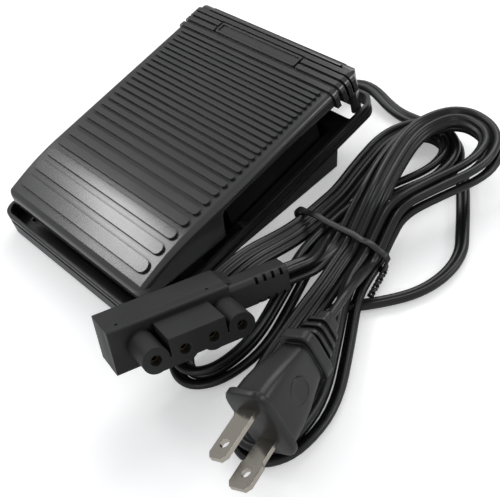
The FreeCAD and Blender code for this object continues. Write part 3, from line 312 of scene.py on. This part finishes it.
def mains_route():
    """From the connector, round the hank and into the plug."""
    run = hank_run(MAINS_HANK)
    first = hank_way(MAINS_HANK, MAINS_HANK.start)
    last = hank_way(MAINS_HANK, MAINS_HANK.end)
    lead = [
        lower_exit - tail_way * 3,
        lower_exit + tail_way * 5,
        lower_exit + tail_way * 12,
        run[0] - first * 6,
    ]
    tail = [
        run[-1] + last * 7,
        plug_tail + plug_way * 13 + Vector((0, 0, -0.5)),
        plug_tail + plug_way * 6,
        plug_tail - plug_way * 3,
    ]
    tilts = [0.0, 0.0, 0.2, 0.5] + [LAID] * len(run) + [0.6, 0.8, 1.0, 1.0]
    return lead + run + tail, tilts


slack_points = [Vector(point) for point in SLACK_ROUTE]
pedal_cord = cord_curve("pedal_cord", *pedal_route())
mains_cord = cord_curve("mains_cord", *mains_route())
slack = cord_curve("mains_cord_slack", slack_points, [SLACK_TILT] * len(SLACK_ROUTE))
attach(slack, "base")
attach(pedal_cord, "base")
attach(mains_cord, "base")
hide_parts("pedal_cord_tail", "pedal_cord_hank", "pedal_cord_lead")
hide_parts("mains_cord_lead", "mains_cord_hank", "mains_cord_tail")


# Springs, each given a mesh of its own


def shorten(name):
    """Gives an upright spring a mesh of its own."""
    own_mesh(nodes[name])


shorten("return_springs")
shorten("plunger_spring")


# The tie round both hanks

TIE_LEFT = 50.3
TIE_RIGHT = 91.9
TIE_STEPS = 96
TIE_HEIGHT = 5.6
TIE_RISE = 5.1
TIE_Y = 10.2
SLANT_MIDDLE = 71.0
SLANT_HALF = 21.0
SLANT_OVER = 0.96
SLANT_UNDER = -0.48
WAVE_START = 50.0
WAVE_PITCH = 8.2
WAVE_HEIGHT = 0.35
BOW_LENGTH = 14.0
BOW_HEIGHT = 0.4
BAND_SIDES = 12
TWIST_START = Vector((92.4, 9.0, 4.6))
TWIST_END = Vector((94.5, -1.5, 1.9))
TWIST_STEPS = 24
TWIST_TURNS = 2
TWIST_RADIUS = 0.62


def smooth_mesh(name, vertices, faces):
    """A smooth-shaded piece of faces over vertices given in millimetres."""
    mesh = bpy.data.meshes.new(name)
    mesh.from_pydata([vertex * MM for vertex in vertices], [], faces)
    mesh.validate()
    for polygon in mesh.polygons:
        polygon.use_smooth = True
    piece = bpy.data.objects.new(name, mesh)
    scene.collection.objects.link(piece)
    return piece


def sweep(name, points, sections, closed=True):
    """A skin over cross-sections, each a list of offsets from its point."""
    vertices = []
    faces = []
    count = len(sections[0])
    for point, section in zip(points, sections):
        vertices += [point + offset for offset in section]
    rings = len(points)
    for ring in range(rings if closed else rings - 1):
        after = (ring + 1) % rings
        for index in range(count):
            following = (index + 1) % count
            corners = (ring * count + index, ring * count + following)
            faces.append((*corners, after * count + following, after * count + index))
    if not closed:
        faces.append(tuple(reversed(range(count))))
        faces.append(tuple((rings - 1) * count + index for index in range(count)))
    return smooth_mesh(name, vertices, faces)


def band_section(outward, along, width, thickness):
    """A strip's section with round edges: width along the hank, thickness outwards."""
    section = []
    for angle in circle(BAND_SIDES):
        across = squared(math.cos(angle), 0.5) * width / 2
        deep = squared(math.sin(angle), 0.7) * thickness / 2
        section.append(along * across + outward * deep)
    return section


def tie_loop():
    """Centre line of the band: flat on the floor, tight round both sides, wavy over the cords."""
    points = []
    for angle in circle(TIE_STEPS):
        reach = squared(math.cos(angle), 0.42)
        rise = squared(math.sin(angle), 0.6)
        x = (TIE_LEFT + TIE_RIGHT) / 2 + reach * (TIE_RIGHT - TIE_LEFT) / 2
        z = TIE_HEIGHT + rise * TIE_RISE
        if rise > 0.5:
            z += WAVE_HEIGHT * math.sin((x - WAVE_START) * 2 * math.pi / WAVE_PITCH)
            z += BOW_HEIGHT * math.sin((x - WAVE_START) / BOW_LENGTH)
        slant = SLANT_OVER if rise > 0 else SLANT_UNDER
        y = TIE_Y + slant * (x - SLANT_MIDDLE) / SLANT_HALF
        points.append(Vector((x, y, z)))
    return points


def tie_band():
    """The band itself, one closed strip."""
    loop = tie_loop()
    along = Vector((0, 1, 0))
    sections = []
    for index in range(len(loop)):
        way = (loop[(index + 1) % len(loop)] - loop[index - 1]).normalized()
        outward = way.cross(along).normalized()
        sections.append(band_section(outward, along, 2.5, 0.85))
    return sweep("cord_tie_band", loop, sections)


def twisted_end(index):
    """One of the tie's two ends, turned round the other."""
    way = (TWIST_END - TWIST_START).normalized()
    first = way.orthogonal().normalized()
    second = way.cross(first)
    points = []
    sections = []
    for step in range(TWIST_STEPS + 1):
        share = step / TWIST_STEPS
        angle = share * TWIST_TURNS * 2 * math.pi + index * math.pi
        spin = first * math.cos(angle) + second * math.sin(angle)
        points.append(TWIST_START.lerp(TWIST_END, share) + spin * TWIST_RADIUS)
        sections.append(band_section(spin, way.cross(spin), 1.7, 0.8))
    return sweep(f"cord_tie_end_{index}", points, sections, closed=False)


tie = tie_band()
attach(tie, "base")
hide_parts("cord_tie")
for index in range(2):
    end = twisted_end(index)
    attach(end, "base")


# The connector's thick back

BACK_OUTLINE = [(-9.53, -8.0), (-9.53, 7.42), (31.6, 7.42), (36.5, 4.4), (36.5, -2.5), (2.0, -8.0)]
BACK_SPAN = (17.0, 27.5)


def rounded_block(name, place, corners, span, radius):
    """A prism of an outline in a frame's X and Z, between two places on its Y, with round edges."""
    count = len(corners)
    vertices = [place @ Vector((x, y, z)) for y in span for x, z in corners]
    faces = [tuple(range(count)), tuple(reversed(range(count, 2 * count)))]
    for index in range(count):
        after = (index + 1) % count
        faces.append((after, index, count + index, count + after))
    piece = smooth_mesh(name, vertices, faces)
    bevel = piece.modifiers.new("round", "BEVEL")
    bevel.width = radius * MM
    bevel.segments = 4
    bevel.limit_method = "ANGLE"
    return piece


connector_back = rounded_block("connector_back", CONNECTOR, BACK_OUTLINE, BACK_SPAN, 0.3)
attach(connector_back, "base")


# The plug's moulding: each station is a place along it, half its width and half its depth.

PLUG_STATIONS = [
    (0.0, 11.6, 6.5),
    (0.35, 12.5, 7.2),
    (0.9, 12.8, 7.5),
    (2.5, 12.8, 7.5),
    (2.9, 12.5, 7.2),
    (3.0, 11.1, 6.8),
    (8.0, 10.8, 6.7),
    (14.0, 9.8, 6.3),
    (20.0, 8.1, 5.5),
    (25.4, 6.7, 4.7),
    (25.6, 8.6, 5.6),
    (26.0, 9.0, 5.9),
    (29.0, 9.0, 5.9),
    (29.4, 8.6, 5.6),
    (29.6, 5.5, 4.0),
]
PLUG_SIDES = 56
PLUG_SQUARENESS = 0.42
RINGS = 3
RING_START = 30.9
RING_PITCH = 3.1
RING_PROUD = 5.9
RING_TAPER = 0.5
DISC_STATIONS = [(4.0, 4.5), (6.35, 4.5), (6.6, 4.25), (6.6, 3.8), (6.45, 3.6)]
DISC_PLACE = 13.5
DISC_SIDES = 48
SHARP = math.radians(32)


def plug_section(half, side):
    """A rounded rectangle across the plug."""
    section = []
    for angle in circle(PLUG_SIDES, 0.5):
        x = squared(math.cos(angle), PLUG_SQUARENESS) * half
        y = squared(math.sin(angle), PLUG_SQUARENESS) * side
        section.append(PLUG.to_3x3() @ Vector((x, y, 0)))
    return section


def plug_skin():
    """Thin flange, tapered body, grip and ringed cord relief."""
    stations = list(PLUG_STATIONS)
    for ring in range(RINGS):
        start = RING_START + RING_PITCH * ring
        proud = RING_PROUD - RING_TAPER * ring
        stations.append((start, proud - 1.3, proud - 2.0))
        stations.append((start + 0.1, proud, proud - 0.9))
        stations.append((start + 1.4, proud - 0.1, proud - 1.0))
        stations.append((start + 1.5, proud - 1.4, proud - 2.1))
    stations.append((40.2, 3.7, 2.8))
    stations.append((PLUG_REACH, 3.4, 2.6))
    points = []
    sections = []
    for place, half, side in stations:
        points.append(PLUG @ Vector((0, 0, -place)))
        sections.append(plug_section(half, side))
    skin = sweep("plug_moulding", points, sections, closed=False)
    skin.data.set_sharp_from_angle(angle=SHARP)
    return skin


def plug_disc():
    """Plain round boss on the plug's broad side, with a raised edge."""
    points = []
    sections = []
    for height, radius in DISC_STATIONS:
        points.append(PLUG @ Vector((0, height, -DISC_PLACE)))
        section = []
        for angle in circle(DISC_SIDES):
            offset = Vector((radius * math.cos(angle), 0, radius * math.sin(angle)))
            section.append(PLUG.to_3x3() @ offset)
        sections.append(section)
    disc = sweep("plug_disc", points, sections, closed=False)
    disc.data.set_sharp_from_angle(angle=SHARP)
    return disc


plug_moulding = plug_skin()
plug_mark = plug_disc()
for piece in (plug_moulding, plug_mark):
    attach(piece, "base")
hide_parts("plug_body")


# Finishes


class Term:
    """A shader socket that Python arithmetic works on."""

    def __init__(self, finish, socket):
        self.finish = finish
        self.socket = socket

    def maths(self, operation, *values):
        return self.finish.add("ShaderNodeMath", {"operation": operation}, *values)

    def __add__(self, other):
        return self.maths("ADD", self, other)

    def __radd__(self, other):
        return self.maths("ADD", other, self)

    def __sub__(self, other):
        return self.maths("SUBTRACT", self, other)

    def __mul__(self, other):
        return self.maths("MULTIPLY", self, other)


class Finish:
    """A material made of nodes, with one shader for the surface."""

    def __init__(self, name):
        self.material = bpy.data.materials.new(name)
        self.material.use_nodes = True
        self.tree = self.material.node_tree
        self.shader = self.tree.nodes["Principled BSDF"]

    def add(self, kind, settings, *values, output=0, **sockets):
        """A node with its settings, then the values or links of its sockets."""
        made = self.tree.nodes.new(kind)
        for name, value in settings.items():
            if name == "stops":
                self.set_stops(made.color_ramp, value)
            else:
                setattr(made, name, value)
        for index, value in enumerate(values):
            self.feed(made.inputs[index], value)
        for name, value in sockets.items():
            self.feed(made.inputs[name.replace("_", " ")], value)
        return Term(self, made.outputs[output])

    def set_stops(self, ramp, stops):
        while len(ramp.elements) < len(stops):
            ramp.elements.new(0.5)
        for element, (place, level) in zip(ramp.elements, stops):
            element.position = place
            element.color = (level, level, level, 1)

    def feed(self, socket, value):
        if isinstance(value, Term):
            self.tree.links.new(value.socket, socket)
        else:
            socket.default_value = value

    def surface(self, **sockets):
        for name, value in sockets.items():
            self.feed(self.shader.inputs[name.replace("_", " ")], value)

    def noise(self, scale, detail=3.0, stretch=None):
        where = self.add("ShaderNodeTexCoord", {}, output="Object")
        if stretch is not None:
            where = self.add("ShaderNodeVectorMath", {"operation": "MULTIPLY"}, where, stretch)
        return self.add("ShaderNodeTexNoise", {}, Vector=where, Scale=scale, Detail=detail)

    def ramp(self, value, *stops):
        return self.add("ShaderNodeValToRGB", {"stops": stops}, value)

    def mix(self, share, first, second):
        made = self.tree.nodes.new("ShaderNodeMix")
        made.data_type = "RGBA"
        self.feed(made.inputs[0], share)
        self.feed(made.inputs[6], first)
        self.feed(made.inputs[7], second)
        return Term(self, made.outputs[2])

    def rounded(self, edge):
        """The surface's direction with its edges rounded off."""
        return self.add("ShaderNodeBevel", {"samples": 6}, Radius=edge)


def shade(value, warm=0.0):
    """A grey, a little warmer or not."""
    return (value * (1 + warm), value, value * (1 - warm), 1)


def darker(colour, keep):
    """A colour with only part of its light kept."""
    return (*(part * keep for part in colour), 1)


DUST_COLOUR = (0.35, 0.34, 0.33, 1)
# Painted shade: a near-black colour laid into creases, gaps and recesses, out to this reach from nearby
# surfaces.
PAINTED_SHADE_COLOUR = (0.001, 0.001, 0.001, 1)
PAINTED_SHADE_REACH = 0.0016


def moulded(name, dark, light, rough, grain=0.00002, edge=0.0003, gloss=0.5, dust=0.03, polish=0.0):
    """Moulded plastic: faint mottling, fine grain, rubbed patches, painted shade in its creases and a
    little dust.
    """
    finish = Finish(name)
    mottle = finish.noise(55, detail=5)
    rubbed = finish.ramp(finish.noise(140, detail=4, stretch=(1.0, 0.3, 1.0)), (0.42, 0.0), (0.72, 1.0))
    speck = finish.ramp(finish.noise(1900, detail=2), (0.735, 0.0), (0.76, 1.0))
    colour = finish.mix(finish.ramp(mottle, (0.35, 0.0), (0.7, 1.0)), dark, light)
    colour = finish.mix(speck * dust, colour, DUST_COLOUR)
    # Painted shade: an ambient-occlusion mask mixes the near-black colour into creases, gaps and recesses;
    # with polish, the same mask also thins the coat there.
    open_sky = finish.add("ShaderNodeAmbientOcclusion", {"samples": 8}, Distance=PAINTED_SHADE_REACH, output="AO")
    proud = finish.ramp(open_sky, (0.45, 0.0), (0.93, 1.0))
    colour = finish.mix(proud, PAINTED_SHADE_COLOUR, colour)
    uneven = finish.noise(420, detail=3)
    finish.surface(
        Base_Color=colour,
        Roughness=rough + (uneven - 0.5) * 0.03 + rubbed * 0.025,
        Specular_IOR_Level=gloss,
        Coat_Roughness=rough * 0.8,
    )
    if polish:
        finish.surface(Coat_Weight=proud * polish)
    bump = finish.add(
        "ShaderNodeBump",
        {},
        Height=finish.noise(5200, detail=2),
        Distance=grain,
        Strength=0.6,
        Normal=finish.rounded(edge),
    )
    finish.surface(Normal=bump)
    return finish.material


def sheath(name):
    """Soft sheath of a cord: smooth, slightly waxy, with faint lines and dull patches."""
    finish = Finish(name)
    patches = finish.noise(90, detail=4)
    marks = finish.noise(2600, detail=2)
    colour = finish.mix(patches, (0.006, 0.006, 0.0065, 1), (0.012, 0.012, 0.0125, 1))
    finish.surface(
        Base_Color=colour,
        Roughness=0.33 + (patches - 0.5) * 0.18 + (marks - 0.5) * 0.08,
        Specular_IOR_Level=0.42,
    )
    bump = finish.add("ShaderNodeBump", {}, Height=marks, Distance=0.00001, Strength=0.5)
    finish.surface(Normal=bump)
    return finish.material


def metal(name, colour, rough, brushed=(1.0, 1.0, 1.0)):
    """Plated or bare metal with fine drawing marks and a few dull spots."""
    finish = Finish(name)
    drawn = finish.noise(2400, detail=3, stretch=brushed)
    spots = finish.ramp(finish.noise(700, detail=3), (0.55, 0.0), (0.75, 1.0))
    finish.surface(
        Base_Color=finish.mix(spots * 0.35, (*colour, 1), darker(colour, 0.6)),
        Metallic=1.0,
        Roughness=rough + (drawn - 0.5) * 0.18 + spots * 0.12,
    )
    bump = finish.add(
        "ShaderNodeBump",
        {},
        Height=drawn,
        Distance=0.00001,
        Strength=0.4,
        Normal=finish.rounded(0.0001),
    )
    finish.surface(Normal=bump)
    return finish.material


def coloured(name, colour, rough):
    """A plain inner part: one colour that varies a little, with fine grain."""
    finish = Finish(name)
    mottle = finish.noise(300, detail=4)
    finish.surface(
        Base_Color=finish.mix(mottle, darker(colour, 0.75), (*colour, 1)),
        Roughness=rough + (mottle - 0.5) * 0.2,
    )
    bump = finish.add("ShaderNodeBump", {}, Height=finish.noise(3000), Distance=0.00002, Strength=0.5)
    finish.surface(Normal=bump)
    return finish.material


treadle_plastic = moulded(
    "treadle_plastic",
    shade(0.022),
    shade(0.029, 0.02),
    0.22,
    grain=0.0000012,
    gloss=0.3,
    dust=0.05,
    polish=0.85,
)
base_plastic = moulded("base_plastic", shade(0.006), shade(0.01), 0.3)
connector_plastic = moulded(
    "connector_plastic", shade(0.018), shade(0.026), 0.48, grain=0.00001, edge=0.0005, gloss=0.3
)
plug_plastic = moulded(
    "plug_plastic", shade(0.006), shade(0.01), 0.34, grain=0.000006, edge=0.0007, gloss=0.45
)
foot_rubber = moulded("foot_rubber", shade(0.01), shade(0.016), 0.7)
cord_sheath = sheath("cord_sheath")
tie_plastic = coloured("tie_plastic", (0.012, 0.012, 0.012), 0.4)
nickel = metal("nickel", (0.42, 0.39, 0.34), 0.16, brushed=(1, 1, 8))
steel = metal("steel", (0.6, 0.6, 0.61), 0.3)
brass = metal("brass", (0.3, 0.24, 0.14), 0.3)
aluminium = metal("aluminium", (0.75, 0.75, 0.77), 0.35)
copper = metal("copper", (0.75, 0.4, 0.22), 0.28)
laminate = coloured("laminate", (0.45, 0.28, 0.12), 0.5)
ivory = coloured("ivory", (0.72, 0.7, 0.63), 0.4)
black_resin = coloured("black_resin", (0.02, 0.02, 0.02), 0.4)
yellow_resin = coloured("yellow_resin", (0.7, 0.5, 0.08), 0.4)
blue_lacquer = coloured("blue_lacquer", (0.2, 0.36, 0.55), 0.3)
green_nylon = coloured("green_nylon", (0.06, 0.3, 0.12), 0.45)

FINISHES = {
    "treadle": treadle_plastic,
    "base_shell": base_plastic,
    "rubber_feet": foot_rubber,
    "inner_cover": base_plastic,
    "cover_screws": steel,
    "hinge_pins": steel,
    "return_springs": steel,
    "plunger_spring": steel,
    "plunger": ivory,
    "wiper": brass,
    "circuit_board": laminate,
    "board_screws": steel,
    "track_board": laminate,
    "triac": black_resin,
    "heat_sink": aluminium,
    "triac_screw": steel,
    "filter_capacitor": yellow_resin,
    "choke_core": black_resin,
    "choke_winding": copper,
    "resistors": blue_lacquer,
    "terminal_block": green_nylon,
    "terminal_screws": steel,
    "cord_clamp": base_plastic,
    "clamp_screws": steel,
    "lead_wires": cord_sheath,
    "strain_relief": cord_sheath,
    "connector_body": connector_plastic,
    "connector_sleeves": brass,
    "plug_body": plug_plastic,
    "narrow_blade": nickel,
    "wide_blade": nickel,
}


def dress(piece, finish):
    """Gives a piece one finish."""
    piece.data.materials.clear()
    piece.data.materials.append(finish)


for name, finish in FINISHES.items():
    dress(nodes[name], finish)
for cord in (pedal_cord, mains_cord, slack):
    dress(cord, cord_sheath)
for name in ("cord_tie_band", "cord_tie_end_0", "cord_tie_end_1"):
    dress(bpy.data.objects[name], tie_plastic)
dress(connector_back, connector_plastic)
for piece in (plug_moulding, plug_mark):
    dress(piece, plug_plastic)


# Floor and light

FLOOR_SIZE = 6.0
FLOOR_GLOW = 0.34
STUDIO_COLOUR = (0.95, 0.96, 0.98, 1)
STUDIO_GLOW = 0.55
WHITE = (1, 1, 1, 1)


def floor_finish():
    """White floor that keeps the object's shadow; past its edge the world is white as well."""
    finish = Finish("floor")
    finish.surface(Base_Color=(0.9, 0.9, 0.9, 1), Roughness=0.9, Specular_IOR_Level=0.1)
    seen = finish.add("ShaderNodeLightPath", {}, output="Is Camera Ray")
    finish.surface(Emission_Color=WHITE, Emission_Strength=seen * FLOOR_GLOW)
    return finish.material


bpy.ops.mesh.primitive_plane_add(size=FLOOR_SIZE, location=(0, 0, 0))
floor = bpy.context.object
floor.name = "floor"
dress(floor, floor_finish())

world = bpy.data.worlds.new("studio")
scene.world = world
world.use_nodes = True
tree = world.node_tree
ground = tree.nodes["Background"]
ground.inputs["Color"].default_value = STUDIO_COLOUR
ground.inputs["Strength"].default_value = STUDIO_GLOW
white = tree.nodes.new("ShaderNodeBackground")
white.inputs["Color"].default_value = WHITE
white.inputs["Strength"].default_value = 1.0
path = tree.nodes.new("ShaderNodeLightPath")
choice = tree.nodes.new("ShaderNodeMixShader")
tree.links.new(path.outputs["Is Camera Ray"], choice.inputs[0])
tree.links.new(ground.outputs[0], choice.inputs[1])
tree.links.new(white.outputs[0], choice.inputs[2])
tree.links.new(choice.outputs[0], tree.nodes["World Output"].inputs["Surface"])


def softbox(name, place, aim, width, height, power):
    """A rectangular lamp at a place, facing a point."""
    data = bpy.data.lights.new(name, "AREA")
    data.shape = "RECTANGLE"
    data.size = width
    data.size_y = height
    data.energy = power
    lamp = bpy.data.objects.new(name, data)
    scene.collection.objects.link(lamp)
    lamp.location = place
    lamp.rotation_euler = (Vector(aim) - Vector(place)).to_track_quat("-Z", "Y").to_euler()


softbox("overhead", (-0.3, 0.75, 0.85), aim=(0.03, 0.0, 0.0), width=0.9, height=0.5, power=4.6)
softbox("nose_sheen", (-0.62, -0.13, 0.67), aim=(0.03, -0.04, 0.02), width=0.3, height=0.12, power=1.2)
softbox("right_back", (0.75, 0.55, 0.5), aim=(0.05, 0.0, 0.0), width=0.5, height=0.25, power=2.0)
softbox("near_right", (0.45, -0.85, 0.6), aim=(0.05, 0.0, 0.0), width=0.3, height=0.3, power=0.8)
